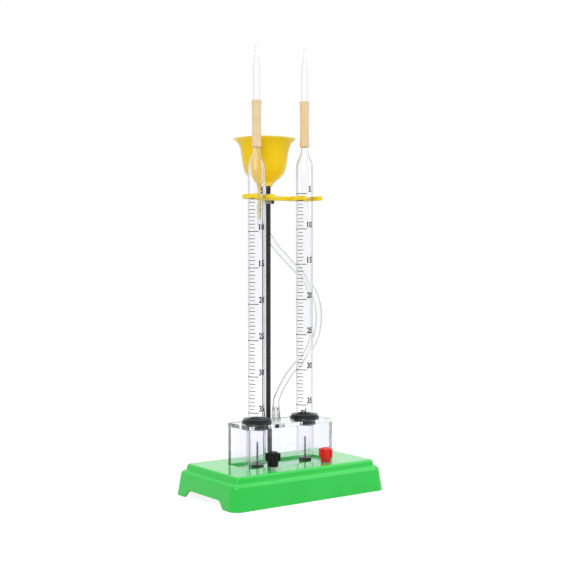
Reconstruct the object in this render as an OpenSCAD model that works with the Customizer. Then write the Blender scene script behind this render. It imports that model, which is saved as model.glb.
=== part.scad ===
// Hofmann voltameter: two graduated gas tubes stand in a water tank over a pair of
// electrodes, and a funnel on a rod feeds the tank through a clear hose.
// Millimetres, +Z up, +X along the front to the right, -Y towards the person using it.
// Z = 0 is the table, and the origin is the middle of the whole object's footprint.

/* [Base] */
// Length of the base along its front
base_l = 150; // [140:1:180]
// Depth of the base from front to back
base_w = 90; // [86:1:110]
// Height of the base's lower tier
tier_h = 20; // [18:0.5:26]
// Rise of the plateau above the lower tier
plateau_rise = 5; // [4:0.5:7]
// Width of the ledge round the plateau
ledge_w = 6; // [5:0.5:8]
// Radius of the base's corners
base_corner_r = 8; // [6:0.5:12]
// Wall of the base moulding
base_wall = 2; // [1.6:0.1:2.6]
// Width of the arch at the foot of each short side
arch_w = 57; // [44:1:62]
// Height of that arch
arch_h = 6; // [4:0.5:9]

/* [Tank] */
// Length of the water tank
tank_l = 83; // [80:1:96]
// Depth of the water tank from front to back
tank_w = 30.6; // [28:0.2:32]
// Height of the tank with its lid
tank_h = 37.5; // [34:0.5:50]
// Wall of the tank's acrylic sheet
tank_wall = 2.3; // [1.8:0.1:3]
// Thickness of the lid
lid_t = 3; // [2.4:0.1:4]
// Depth that the tank sits below the plateau's top
tank_sunk = 4; // [3:0.5:5]

/* [Gas tubes] */
// Distance between the two tubes' axes
tube_spacing = 48; // [46:1:54]
// Outer diameter of a gas tube
tube_d = 14; // [12:0.5:15]
// Wall of the glass
glass_wall = 0.9; // [0.7:0.1:1.2]
// Straight length of a gas tube below its shoulder
tube_straight_h = 238; // [225:1:260]
// Height of the shoulder that narrows to the neck
shoulder_h = 14.3; // [11:0.1:16]
// Outer diameter of the neck
neck_d = 6; // [5.4:0.1:6.4]
// Gap from the tank's floor to the left tube's open foot
left_foot_gap = 2.5; // [2:0.5:6]
// Gap from the tank's floor to the right tube's open foot
right_foot_gap = 5.5; // [3:0.5:8]

/* [Sleeves and nozzles] */
// Length of a rubber sleeve
sleeve_l = 38; // [34:1:44]
// Wall of the rubber sleeve
sleeve_wall = 0.8; // [0.6:0.1:1.1]
// Length of a glass nozzle
nozzle_l = 63; // [56:0.5:70]
// Outer diameter of a nozzle's body
nozzle_d = 5.6; // [5.2:0.1:6]
// Outer diameter of the left nozzle's tip
left_tip_d = 3.2; // [2.4:0.1:3.6]
// Outer diameter of the right nozzle's tip
right_tip_d = 2; // [1.6:0.1:3]

/* [Electrodes] */
// Diameter of an electrode's pin
pin_d = 1.5; // [1:0.1:2]
// Height of the pin above its seal
pin_h = 17; // [10:0.5:22]
// Diameter of an electrode's rubber seal
seal_d = 10.5; // [9.5:0.5:12]
// Height of that seal
seal_h = 3; // [2.5:0.5:5]

/* [Stand] */
// Diameter of the rod
rod_d = 4; // [3.6:0.1:5]
// Height of the tube holder's underside above the table
holder_z = 239; // [225:1:244]
// Thickness of the tube holder
holder_t = 3.4; // [2.6:0.1:4]
// Radius of a holder clip's outside
clip_r = 11.5; // [10.5:0.5:13]
// Width of a clip's open mouth
mouth_w = 11.4; // [9:0.2:11.6]

/* [Funnel] */
// Height of the funnel's rim above the table
rim_z = 290.5; // [286:0.5:300]
// Height of the funnel's bell
bell_h = 37.5; // [34:0.5:40]
// Radius of the funnel's rim
rim_r = 26.2; // [24:0.1:26.6]
// Wall of the funnel
funnel_wall = 1.2; // [1:0.1:1.6]
// Length of the spout below the bell
spout_l = 29; // [26:0.5:32]

/* [Hose] */
// Outer diameter of the clear hose
hose_d = 5.5; // [5:0.1:6]

/* [Terminals] */
// Distance between the two terminals
post_spacing = 52.5; // [50:0.5:64]
// Distance forward from the middle of the strip in front of the tank to the terminals
post_forward = -1.2; // [-2.4:0.1:1]
// Diameter of a terminal's threaded stud
stud_d = 4; // [3.6:0.1:4.4]
// Height of a terminal's cap
cap_h = 11.4; // [10:0.2:14]
// Diameter over a cap's finger ribs
cap_d = 12; // [10.4:0.2:13]
// How far the black cap is screwed up off the base
black_cap_raise = 2; // [0:0.2:4]

/* [Hidden] */

// Overrun of every cut past the face that it opens
cut = 1;
// Radial gap of pieces that are pushed together and stay put
fit_gap = 0.05;
// Radial gap of pieces that slide or turn
run_gap = 0.06;
// Segments of a true circle, and of a circle that a hull blends
round_fn = 64;
soft_fn = 32;
$fn = round_fn;

// Colours
grass_green = [0.24, 0.82, 0.36];
clear_acrylic = [0.86, 0.9, 0.92, 0.35];
clear_glass = [0.9, 0.93, 0.95, 0.35];
clear_vinyl = [0.88, 0.92, 0.92, 0.45];
black_rubber = [0.1, 0.1, 0.11];
latex_tan = [0.92, 0.82, 0.66];
black_enamel = [0.08, 0.08, 0.09];
sun_yellow = [0.96, 0.8, 0.1];
bright_steel = [0.74, 0.75, 0.77];
cap_black = [0.12, 0.12, 0.13];
cap_red = [0.84, 0.2, 0.17];

// Base: lean of the side walls, softness of their top edges and the slimmest sheet in a hull
side_lean = 2.2;
edge_soft = 2.6;
layer_t = 0.01;
plateau_lean = 1;
plateau_top_z = tier_h + plateau_rise;
plateau_l = base_l - 2 * ledge_w;
plateau_w = base_w - 2 * ledge_w;
// Shares of the edge softness that each layer of a rounded edge keeps back and stays below
edge_shares = [[0, 1], [0.13, 0.5], [0.5, 0.13], [1, 0]];
// Share of the arch's width that is left at its top
arch_top_share = 0.8;

// Pocket that the tank stands in
pocket_gap = 0.3;
tank_z = plateau_top_z - tank_sunk;
tank_floor_z = tank_z + tank_wall;
tank_top_z = tank_z + tank_h;
lid_z = tank_top_z - lid_t;
under_z = tank_z - base_wall;

// Rod, just behind the tank
rod_gap = 0.7;
rod_behind = tank_w / 2 + rod_gap + rod_d / 2;

// Funnel: the rod's socket and the spout lie on either side of its axis
socket_offset = 5.2;
spout_offset = 5;
funnel_behind = rod_behind + socket_offset;

// The object's footprint reaches from the base's front to the funnel's back
back_reach = max(base_w / 2, funnel_behind + rim_r);
mid_y = (base_w / 2 - back_reach) / 2;
rod_y = mid_y + rod_behind;
funnel_y = mid_y + funnel_behind;
spout_y = funnel_y + spout_offset;

// Gas tubes
tube_x = tube_spacing / 2;
bore_d = tube_d - 2 * glass_wall;
neck_h = 15;
neck_bore_d = neck_d - 2 * glass_wall;
shoulder_steps = 8;
left_foot_z = tank_floor_z + left_foot_gap;
right_foot_z = tank_floor_z + right_foot_gap;

// Rubber grommets in the lid
waist_wall = 2;
waist_d = tube_d + 2 * (run_gap + waist_wall);
plug_d = waist_d + 2;
plug_tip_d = waist_d - 1.4;
plug_h = 2.2;
flange_d = 24.4;
flange_h = 1.8;
ridge_d = 22;
ridge_h = 1.8;
ridge_groove = 0.7;
groove_h = 0.4;
lip_wall = 0.8;
lip_h = 0.6;

// Sleeves: how far they stand above the shoulder, and the swollen ends
sleeve_lift = 2;
nozzle_in = 19;
swell = 0.35;
swell_h = 4;
neck_grip = 0.1;

// Nozzles: shares of the exposed length where the taper starts, steps and ends
tip_bore_share = 0.45;
body_share = 0.56;
step_share = 0.68;
tip_share = 0.84;
step_d_share = 0.6;
nozzle_end_r = 0.3;

// Electrodes
shank_d = 3;
shank_share = 0.5;

// Hardware below the base
washer_t = 0.6;
nut_t = 2.4;
lug_t = 0.6;
thread_over = 1;
stud_end_z = under_z - washer_t - 2 * nut_t - lug_t - thread_over;
shank_nut_af = 5.5;
stud_nut_af = 7;
shank_washer_d = 7;
stud_washer_d = 9;
rod_nut_af = rod_d + 3;
rod_washer_d = rod_d + 5;
post_boss_d = 11;
rod_boss_d = rod_d + 5;
lug_clear = 0.2;
lug_lap = 0.4;
lead_d = 2;
barrel_d = 3;
barrel_l = 5;

// Terminals
post_x = post_spacing / 2;
post_y = mid_y - (tank_w + plateau_w) / 4 - post_forward;
cap_washer_d = 8.4;
cap_foot_d = 8;
cap_core_d = 9;
cap_crown_d = 7;
cap_crown_h = 1;
cap_neck_h = 4.2;
cap_roof = 1.6;
cap_ribs = 6;
cap_rib_w = 2.8;
// Angle at which each cap's first rib comes to rest
black_cap_angle = -36;
red_cap_angle = -6;

// Holder and collar
boss_r = 5.6;
bar_w = 7;
bar_behind = 11;
lip_r = 1.9;
lip_side = 8.3;
lip_forward = 10.4;
collar_h = 2.6;
collar_wall = 1;
screw_d = 1.6;
screw_head_d = 2.6;
screw_head_l = 1.9;

// Funnel
socket_d = rod_d + 3.4;
socket_l = 2;
socket_depth = 5;
bowl_floor = 4.6;
spout_top_d = 7.2;
spout_tip_d = 4.6;
spout_bore_d = 3;
bell_steps = 2;
// Shares of the rim radius and of the bell's height along the bell's outside, bottom to rim
bell_shares = [[0.25, 0], [0.34, 0.05], [0.41, 0.095], [0.5, 0.14], [0.6, 0.227], [0.64, 0.28],
    [0.672, 0.36], [0.702, 0.453], [0.737, 0.627], [0.786, 0.8], [0.86, 0.91], [1, 1]];
bell_z = rim_z - bell_h;
spout_end_z = bell_z - spout_l;

// Hose nipple on the lid
nipple_behind = 7;
nipple_d = 4.4;
nipple_bore_d = 2.6;
nipple_h = 10;
nipple_below = 1;
barb_d = 5.2;
barb_h = 2.4;
nipple_flange_d = 8;
nipple_flange_h = 1;

// Hose: sides of its tube, how far it is pushed on at each end and how much it swells there
hose_sides = 12;
hose_on_spout = 12;
hose_on_nipple = 8.5;
hose_swell = 0.8;
// Points of the hose, from the spout's tip down to the nipple: right, back of the base's middle, up
hose_route = [[0, 28, 220], [2, 28, 216.5], [5.5, 28, 213], [9, 28, 208.5], [11.5, 27.5, 204.5],
    [15, 27, 200], [20.5, 26, 194.5], [27, 25, 188], [34, 24, 181.5], [41, 23, 174.5], [47, 22, 167], [51.5, 21, 159],
    [54, 20.5, 150], [54.5, 20, 141], [53, 19.5, 131.5], [49.5, 19, 122.5], [43.5, 18.5, 114.5],
    [35.5, 18, 107], [27, 17, 100], [20, 15.5, 94.5], [14, 13.5, 89], [8.5, 11.5, 83.5],
    [4, 9.5, 78.5], [1, 8, 74]];

function unit(v) = v / norm(v);
function clear_of_nut(across) = across / 2 / cos(30) + lug_clear;
function shoulder_r(share, wide, narrow) = narrow + (wide - narrow) * (1 + cos(180 * share)) / 2;

// Catmull-Rom point between b and c at t, and a smooth list through rough points
function curve_at(a, b, c, d, t) =
    ((2 * b) + (c - a) * t + (2 * a - 5 * b + 4 * c - d) * t * t + (3 * b - a - 3 * c + d) * t * t * t) / 2;
function smooth(p, steps) = [
    for (i = [0 : len(p) - 2], k = [0 : steps - 1])
        curve_at(p[max(i - 1, 0)], p[i], p[i + 1], p[min(i + 2, len(p) - 1)], k / steps),
    p[len(p) - 1]
];

// Outline moved sideways to its left by a wall
function inset_line(p, wall) = [
    for (i = [0 : len(p) - 1])
        let (along = unit(p[min(i + 1, len(p) - 1)] - p[max(i - 1, 0)]))
            p[i] + wall * [-along.y, along.x]
];

// Thin rounded sheet, the building layer of a soft-edged block
module layer(z, l, w, r)
    translate([0, mid_y, z]) linear_extrude(layer_t) offset(r = r, $fn = soft_fn)
        square([l - 2 * r, w - 2 * r], center = true);

// Soft-edged block that leans inwards from its foot to its top
module soft_block(foot_z, top_z, l, w, r, lean, soft)
    hull() {
        layer(foot_z, l, w, r);
        for (s = edge_shares) let (back = lean + s[0] * soft)
            layer(top_z - s[1] * soft - layer_t, l - 2 * back, w - 2 * back, max(r - back, soft / 2));
    }

module tube_at(d, hole_d, z, h)
    translate([0, 0, z]) difference() {
        cylinder(d = d, h = h);
        translate([0, 0, -cut]) cylinder(d = hole_d, h = h + 2 * cut);
    }

module nut_at(across, hole_d, z, h)
    translate([0, 0, z]) difference() {
        cylinder(d = across / cos(30), h = h, $fn = 6);
        translate([0, 0, -cut]) cylinder(d = hole_d, h = h + 2 * cut);
    }

module at_tube(side) translate([side * tube_x, mid_y, 0]) children();
module at_post(side) translate([side * post_x, post_y, 0]) children();
module at_rod() translate([0, rod_y, 0]) children();

// Base: one green moulding, open below, with a pocket for the tank
module arch() {
    half = arch_w / 2;
    top_half = half * arch_top_share;
    translate([-base_l / 2 - cut, mid_y, 0]) rotate([90, 0, 90]) linear_extrude(base_l + 2 * cut)
        polygon([[-half, -cut], [half, -cut], [half, 0], [top_half, arch_h], [-top_half, arch_h], [-half, 0]]);
}

module base_solid() {
    soft_block(0, tier_h, base_l, base_w, base_corner_r, side_lean, edge_soft);
    soft_block(tier_h - edge_soft, plateau_top_z, plateau_l, plateau_w, base_corner_r, plateau_lean, edge_soft / 2);
}

module base_hollow() {
    inner_r = base_corner_r - base_wall;
    soft_block(-cut, tier_h - base_wall, base_l - 2 * base_wall, base_w - 2 * base_wall, inner_r,
        side_lean, edge_soft);
    soft_block(0, plateau_top_z - base_wall, plateau_l - 2 * base_wall, plateau_w - 2 * base_wall,
        inner_r, plateau_lean, edge_soft / 2);
}

module pocket(extra, from_z, to_z)
    translate([0, mid_y, (from_z + to_z) / 2])
        cube([tank_l + 2 * extra, tank_w + 2 * extra, to_z - from_z], center = true);

module base_shell() color(grass_green) difference() {
    roof_mid_z = plateau_top_z - base_wall / 2;
    union() {
        difference() {
            base_solid();
            base_hollow();
            arch();
        }
        pocket(pocket_gap + base_wall, under_z, roof_mid_z);
        for (side = [-1, 1]) at_post(side)
            translate([0, 0, under_z]) cylinder(d = post_boss_d, h = roof_mid_z - under_z);
        at_rod() translate([0, 0, under_z]) cylinder(d = rod_boss_d, h = roof_mid_z - under_z);
    }
    pocket(pocket_gap, tank_z, plateau_top_z + cut);
    for (side = [-1, 1]) {
        at_tube(side) translate([0, 0, under_z - cut])
            cylinder(d = shank_d + 2 * fit_gap, h = base_wall + 2 * cut);
        at_post(side) translate([0, 0, under_z - cut])
            cylinder(d = stud_d + 2 * fit_gap, h = plateau_top_z - under_z + 2 * cut);
    }
    at_rod() translate([0, 0, under_z - cut])
        cylinder(d = rod_d + 2 * fit_gap, h = plateau_top_z - under_z + 2 * cut);
}

// Tank: a clear box of glued sheet, and its lid
module tank_box() color(clear_acrylic) difference() {
    inside = [tank_l - 2 * tank_wall, tank_w - 2 * tank_wall];
    pocket(0, tank_z, lid_z);
    translate([-inside.x / 2, mid_y - inside.y / 2, tank_floor_z]) cube([inside.x, inside.y, tank_h]);
    for (side = [-1, 1]) at_tube(side) translate([0, 0, tank_z - cut])
        cylinder(d = shank_d + 2 * fit_gap, h = tank_wall + 2 * cut);
}

module tank_lid() color(clear_acrylic) difference() {
    pocket(0, lid_z, tank_top_z);
    for (side = [-1, 1]) at_tube(side) translate([0, 0, lid_z - cut])
        cylinder(d = waist_d + 2 * fit_gap, h = lid_t + 2 * cut);
    translate([0, mid_y + nipple_behind, lid_z - cut]) cylinder(d = nipple_d + 2 * fit_gap, h = lid_t + 2 * cut);
}

module hose_nipple() color(clear_acrylic) translate([0, mid_y + nipple_behind, 0]) rotate_extrude()
    polygon([[nipple_bore_d / 2, lid_z - nipple_below], [nipple_d / 2, lid_z - nipple_below],
        [nipple_d / 2, tank_top_z], [nipple_flange_d / 2, tank_top_z],
        [nipple_flange_d / 2, tank_top_z + nipple_flange_h], [nipple_d / 2, tank_top_z + nipple_flange_h],
        [nipple_d / 2, tank_top_z + nipple_h - barb_h], [barb_d / 2, tank_top_z + nipple_h - barb_h],
        [(nipple_bore_d + nipple_d) / 4, tank_top_z + nipple_h], [nipple_bore_d / 2, tank_top_z + nipple_h]]);

// Grommet: a rubber ring that grips the lid's edge and lets the tube slide
module grommet(side) color(black_rubber) at_tube(side) rotate_extrude() {
    bore_r = tube_d / 2 + run_gap;
    top = tank_top_z + flange_h;
    polygon([[bore_r, lid_z - plug_h], [plug_tip_d / 2, lid_z - plug_h], [plug_d / 2, lid_z],
        [waist_d / 2, lid_z], [waist_d / 2, tank_top_z], [flange_d / 2, tank_top_z], [flange_d / 2, top],
        [ridge_d / 2 - ridge_groove, top], [ridge_d / 2 - ridge_groove, top + groove_h],
        [ridge_d / 2, top + groove_h], [ridge_d / 2, top + ridge_h], [bore_r + lip_wall, top + ridge_h],
        [bore_r + lip_wall, top + ridge_h + lip_h], [bore_r, top + ridge_h + lip_h]]);
}
module left_grommet() grommet(-1);
module right_grommet() grommet(1);

// Gas tube: open foot, straight measuring length, rounded shoulder and narrow neck
module gas_tube(side, foot_z) color(clear_glass) at_tube(side) translate([0, 0, foot_z]) {
    top = tube_straight_h + shoulder_h + neck_h;
    rotate_extrude() polygon(concat(
        [[bore_d / 2, 0], [tube_d / 2, 0]],
        [for (k = [0 : shoulder_steps]) let (s = k / shoulder_steps)
            [shoulder_r(s, tube_d / 2, neck_d / 2), tube_straight_h + shoulder_h * s]],
        [[neck_d / 2, top], [neck_bore_d / 2, top]],
        [for (k = [0 : shoulder_steps]) let (s = 1 - k / shoulder_steps)
            [shoulder_r(s, bore_d / 2, neck_bore_d / 2), tube_straight_h + shoulder_h * s]]));
}
module left_gas_tube() gas_tube(-1, left_foot_z);
module right_gas_tube() gas_tube(1, right_foot_z);

// Sleeve: latex tubing pushed over the neck below and the nozzle above
function sleeve_z(foot_z) = foot_z + tube_straight_h + shoulder_h + sleeve_lift;

module sleeve(side, foot_z) color(latex_tan) at_tube(side) translate([0, 0, sleeve_z(foot_z)]) {
    low_r = neck_d / 2 - neck_grip;
    high_r = nozzle_d / 2 + fit_gap;
    low_h = sleeve_l - nozzle_in;
    skin_r = max(low_r, high_r) + sleeve_wall;
    rotate_extrude() polygon([[low_r, 0], [skin_r, 0], [skin_r + swell, swell_h / 3],
        [skin_r + swell / 2, swell_h], [skin_r, low_h], [skin_r, sleeve_l - 2 * swell_h],
        [skin_r + swell, sleeve_l - swell_h / 2], [skin_r + swell, sleeve_l - swell_h / 6],
        [skin_r, sleeve_l], [high_r, sleeve_l], [high_r, low_h], [low_r, low_h]]);
}
module left_sleeve() sleeve(-1, left_foot_z);
module right_sleeve() sleeve(1, right_foot_z);

// Nozzle: glass tube drawn out to a jet in two steps
module nozzle(side, foot_z, tip_d) color(clear_glass)
    at_tube(side) translate([0, 0, sleeve_z(foot_z) + sleeve_l - nozzle_in]) {
    out = nozzle_l - nozzle_in;
    tip_bore_r = tip_d * tip_bore_share / 2;
    bore_r = nozzle_d / 2 - glass_wall;
    step_r = tip_d / 2 + (nozzle_d - tip_d) / 2 * step_d_share;
    rotate_extrude() polygon([[bore_r, 0], [nozzle_d / 2, 0], [nozzle_d / 2, nozzle_in + out * body_share],
        [step_r, nozzle_in + out * step_share], [tip_d / 2, nozzle_in + out * tip_share],
        [tip_d / 2, nozzle_l - nozzle_end_r], [tip_d / 2 - nozzle_end_r, nozzle_l], [tip_bore_r, nozzle_l],
        [tip_bore_r, nozzle_in + out * tip_share], [bore_r, nozzle_in + out * body_share]]);
}
module left_nozzle() nozzle(-1, left_foot_z, left_tip_d);
module right_nozzle() nozzle(1, right_foot_z, right_tip_d);

// Electrode: a bright pin on a threaded shank that passes through tank and base
module electrode(side) color(bright_steel) at_tube(side) {
    shank_top_z = tank_floor_z + seal_h * shank_share;
    translate([0, 0, stud_end_z]) cylinder(d = shank_d, h = shank_top_z - stud_end_z);
    translate([0, 0, shank_top_z]) cylinder(d = pin_d, h = tank_floor_z + seal_h + pin_h - shank_top_z);
}
module left_electrode() electrode(-1);
module right_electrode() electrode(1);

module electrode_seal(side) color(black_rubber) at_tube(side) difference() {
    low_h = seal_h * shank_share;
    translate([0, 0, tank_floor_z]) cylinder(d = seal_d, h = seal_h);
    translate([0, 0, tank_floor_z - cut]) cylinder(d = shank_d + 2 * fit_gap, h = cut + low_h);
    translate([0, 0, tank_floor_z]) cylinder(d = pin_d + 2 * fit_gap, h = seal_h + cut);
}
module left_electrode_seal() electrode_seal(-1);
module right_electrode_seal() electrode_seal(1);

// Washer and two nuts under the base, with a lead's lug between the nuts
washer_z = under_z - washer_t;
clamp_nut_z = washer_z - nut_t;
lug_z = clamp_nut_z - lug_t;
lug_nut_z = lug_z - nut_t;

module electrode_washers() color(bright_steel) for (side = [-1, 1]) at_tube(side)
    tube_at(shank_washer_d, shank_d + 2 * fit_gap, washer_z, washer_t);
module electrode_nuts() color(bright_steel) for (side = [-1, 1], z = [clamp_nut_z, lug_nut_z]) at_tube(side)
    nut_at(shank_nut_af, shank_d + 2 * fit_gap, z, nut_t);

module terminal_washers() color(black_rubber) for (side = [-1, 1]) at_post(side)
    tube_at(stud_washer_d, stud_d + 2 * fit_gap, washer_z, washer_t);
module terminal_nuts() color(bright_steel) for (side = [-1, 1], z = [clamp_nut_z, lug_nut_z]) at_post(side)
    nut_at(stud_nut_af, stud_d + 2 * fit_gap, z, nut_t);

// Lead: an insulated wire between two ring lugs, whose barrels lie clear of the nuts
module lug(hole_d, reach) tube_at(2 * (reach + lug_lap), hole_d, 0, lug_t);

module lead(side, tone) color(tone) {
    run = [side * (post_x - tube_x), post_y - mid_y];
    electrode_reach = clear_of_nut(shank_nut_af);
    post_reach = clear_of_nut(stud_nut_af);
    wire = norm(run) - electrode_reach - post_reach;
    translate([side * tube_x, mid_y, lug_z]) {
        lug(shank_d + 2 * fit_gap, electrode_reach);
        translate(run) lug(stud_d + 2 * fit_gap, post_reach);
        rotate([0, 0, atan2(run.y, run.x)]) {
            translate([electrode_reach, 0, lug_t / 2]) rotate([0, 90, 0]) cylinder(d = lead_d, h = wire);
            for (x = [electrode_reach, electrode_reach + wire - barrel_l])
                translate([x, 0, lug_t / 2]) rotate([0, 90, 0]) cylinder(d = barrel_d, h = barrel_l);
        }
    }
}
module black_lead() lead(-1, cap_black);
module red_lead() lead(1, cap_red);

// Terminal: a threaded stud through the base, a captive washer and a screw cap
module terminal_stud(side) color(bright_steel) at_post(side) translate([0, 0, stud_end_z])
    cylinder(d = stud_d, h = plateau_top_z + washer_t + cap_h - cap_roof - stud_end_z - cut);
module black_terminal_stud() terminal_stud(-1);
module red_terminal_stud() terminal_stud(1);

module cap_washer(side, raise) color(bright_steel) at_post(side)
    tube_at(cap_washer_d, stud_d + 2 * run_gap, plateau_top_z + raise, washer_t);
module black_cap_washer() cap_washer(-1, black_cap_raise);
module red_cap_washer() cap_washer(1, 0);

module cap(side, raise, angle, tone) color(tone) at_post(side)
    translate([0, 0, plateau_top_z + raise + washer_t]) rotate([0, 0, angle]) difference() {
        rib_reach = (cap_d - cap_rib_w) / 2;
        union() {
            cylinder(d1 = cap_foot_d, d2 = cap_core_d, h = cap_neck_h);
            translate([0, 0, cap_neck_h]) linear_extrude(cap_h - cap_neck_h - cap_crown_h) {
                circle(d = cap_core_d);
                for (k = [1 : cap_ribs]) rotate(360 * k / cap_ribs) {
                    translate([0, -cap_rib_w / 2]) square([rib_reach, cap_rib_w]);
                    translate([rib_reach, 0]) circle(d = cap_rib_w);
                }
            }
            translate([0, 0, cap_h - cap_crown_h]) cylinder(d1 = cap_core_d, d2 = cap_crown_d, h = cap_crown_h);
        }
        translate([0, 0, -cut]) cylinder(d = stud_d + 2 * run_gap, h = cap_h - cap_roof + cut);
    }
module black_cap() cap(-1, black_cap_raise, black_cap_angle, cap_black);
module red_cap() cap(1, 0, red_cap_angle, cap_red);

// Rod: stands through the base behind the tank and carries the holder and the funnel
rod_top_z = bell_z - socket_l + socket_depth;

module stand_rod() color(black_enamel) at_rod() translate([0, 0, stud_end_z])
    cylinder(d = rod_d, h = rod_top_z - stud_end_z);
module rod_washer() color(bright_steel) at_rod()
    tube_at(rod_washer_d, rod_d + 2 * fit_gap, washer_z, washer_t);
module rod_nut() color(bright_steel) at_rod()
    nut_at(rod_nut_af, rod_d + 2 * fit_gap, clamp_nut_z, nut_t);

// Collar with a clamp screw: the stop that the holder rests on
module stop_collar() color(bright_steel) at_rod() difference() {
    tube_at(rod_d + 2 * (run_gap + collar_wall), rod_d + 2 * run_gap, holder_z - collar_h, collar_h);
    translate([0, 0, holder_z - collar_h / 2]) rotate([0, 90, 0])
        cylinder(d = screw_d + 2 * fit_gap, h = rod_d);
}
module collar_screw() color(bright_steel) at_rod() translate([0, 0, holder_z - collar_h / 2]) rotate([0, 90, 0]) {
    collar_r = rod_d / 2 + run_gap + collar_wall;
    translate([0, 0, rod_d / 2 + run_gap]) cylinder(d = screw_d, h = collar_wall + cut / 2);
    translate([0, 0, collar_r + fit_gap]) cylinder(d = screw_head_d, h = screw_head_l);
}

// Holder: a flat yellow plate with two open clips for the tubes and a boss on the rod
module holder_outline() {
    for (side = [-1, 1]) translate([side * tube_x, 0]) {
        difference() {
            circle(r = clip_r);
            translate([-mouth_w / 2, -clip_r - cut]) square([mouth_w, clip_r + cut]);
        }
        for (lip = [-1, 1]) {
            translate([lip * lip_side, -lip_forward]) circle(r = lip_r);
            translate([lip * lip_side - lip_r, -lip_forward]) square([2 * lip_r, lip_forward - tube_d / 4]);
        }
    }
    translate([-tube_x, bar_behind - bar_w / 2]) square([2 * tube_x, bar_w]);
    translate([0, rod_behind]) circle(r = boss_r);
    translate([-boss_r, bar_behind]) square([2 * boss_r, rod_behind - bar_behind]);
}

module tube_holder() color(sun_yellow) difference() {
    translate([0, mid_y, holder_z]) linear_extrude(holder_t) holder_outline();
    for (side = [-1, 1]) at_tube(side) translate([0, 0, holder_z - cut])
        cylinder(d = tube_d + 2 * run_gap, h = holder_t + 2 * cut);
    at_rod() translate([0, 0, holder_z - cut]) cylinder(d = rod_d + 2 * run_gap, h = holder_t + 2 * cut);
}

// Funnel: a tulip bell whose underside carries the rod's socket and, behind it, the spout
bell_rough = [for (s = bell_shares) [s[0] * rim_r, s[1] * bell_h]];
bell_outside = smooth(bell_rough, bell_steps);
bell_inside = [for (p = inset_line(bell_outside, funnel_wall)) if (p.y > bowl_floor && p.y < bell_h) p];
bell_lip = [rim_r - funnel_wall, bell_h];

module funnel() color(sun_yellow) difference() {
    last = len(bell_inside) - 1;
    union() {
        translate([0, funnel_y, bell_z]) rotate_extrude() polygon(concat([[0, 0]], bell_outside, [bell_lip],
            [for (i = [0 : last]) bell_inside[last - i]], [[bell_inside[0].x, bowl_floor], [0, bowl_floor]]));
        at_rod() translate([0, 0, bell_z - socket_l]) cylinder(d = socket_d, h = socket_l + bowl_floor);
        translate([0, spout_y, spout_end_z]) cylinder(d1 = spout_tip_d, d2 = spout_top_d, h = spout_l + bowl_floor);
    }
    at_rod() translate([0, 0, bell_z - socket_l - cut])
        cylinder(d = rod_d + 2 * fit_gap, h = cut + socket_depth);
    translate([0, spout_y, spout_end_z - cut]) cylinder(d = spout_bore_d, h = spout_l + bell_h / 2);
}

// Hose: one clear tube from the spout, round behind the right gas tube, to the nipple
hose_points = concat(
    [[0, spout_y, spout_end_z + hose_on_spout], [0, spout_y, spout_end_z + hose_on_spout / 2],
        [0, spout_y, spout_end_z]],
    [for (p = hose_route) [p.x, p.y + mid_y, p.z]],
    [for (up = [hose_on_nipple + hose_d / 2, hose_on_nipple / 2, 0])
        [0, mid_y + nipple_behind, tank_top_z + nipple_flange_h + up]]);
hose_last = len(hose_points) - 1;
hose_radii = [for (i = [0 : hose_last])
    hose_d / 2 + (i < 2 || i > hose_last - 2 ? hose_swell : 0)];
hose_length = [for (i = 0, run = 0; i < hose_last; run = run + norm(hose_points[i + 1] - hose_points[i]),
    i = i + 1) run][hose_last - 1] + norm(hose_points[hose_last] - hose_points[hose_last - 1]);

function hose_along(i) = unit(hose_points[min(i + 1, hose_last)] - hose_points[max(i - 1, 0)]);
function hose_ring(i) =
    let (along = hose_along(i), across = unit(cross(along, [0, 1, 0])), over = cross(across, along))
    [for (k = [0 : hose_sides - 1]) let (a = 360 * k / hose_sides)
        hose_points[i] + hose_radii[i] * (cos(a) * across + sin(a) * over)];

module hose() color(clear_vinyl) {
    n = hose_sides;
    points = [for (i = [0 : hose_last]) each hose_ring(i)];
    sides = [for (i = [0 : hose_last - 1], k = [0 : n - 1])
        let (a = i * n + k, b = i * n + (k + 1) % n)
            each [[a, b, b + n], [a, b + n, a + n]]];
    start = [for (k = [n - 1 : -1 : 0]) k];
    end = [for (k = [0 : n - 1]) hose_last * n + k];
    polyhedron(points, concat(sides, [start, end]));
}

echo(hose_length = hose_length, mid_y = mid_y, stud_end_z = stud_end_z, rod_top_z = rod_top_z);

base_shell();
tank_box();
tank_lid();
hose_nipple();
left_grommet();
right_grommet();
left_gas_tube();
right_gas_tube();
left_sleeve();
right_sleeve();
left_nozzle();
right_nozzle();
left_electrode();
right_electrode();
left_electrode_seal();
right_electrode_seal();
electrode_washers();
electrode_nuts();
stand_rod();
rod_washer();
rod_nut();
stop_collar();
collar_screw();
tube_holder();
funnel();
hose();
black_terminal_stud();
red_terminal_stud();
black_cap_washer();
red_cap_washer();
black_cap();
red_cap();
terminal_washers();
terminal_nuts();
black_lead();
red_lead();
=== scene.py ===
# %% [markdown]
# # A Hofmann voltameter, dressed over its CAD frame
# The apparatus splits water: a tank with two electrodes, two graduated glass tubes that collect
# the gases, and a funnel on a rod that feeds the tank through a clear hose. The CAD frame already
# holds every piece at its size and place. This lesson remodels what shows with softer edges, true
# wall thicknesses, printed scales and screw threads, and gives each piece its finish.

# %% Load the frame
import math

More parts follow.
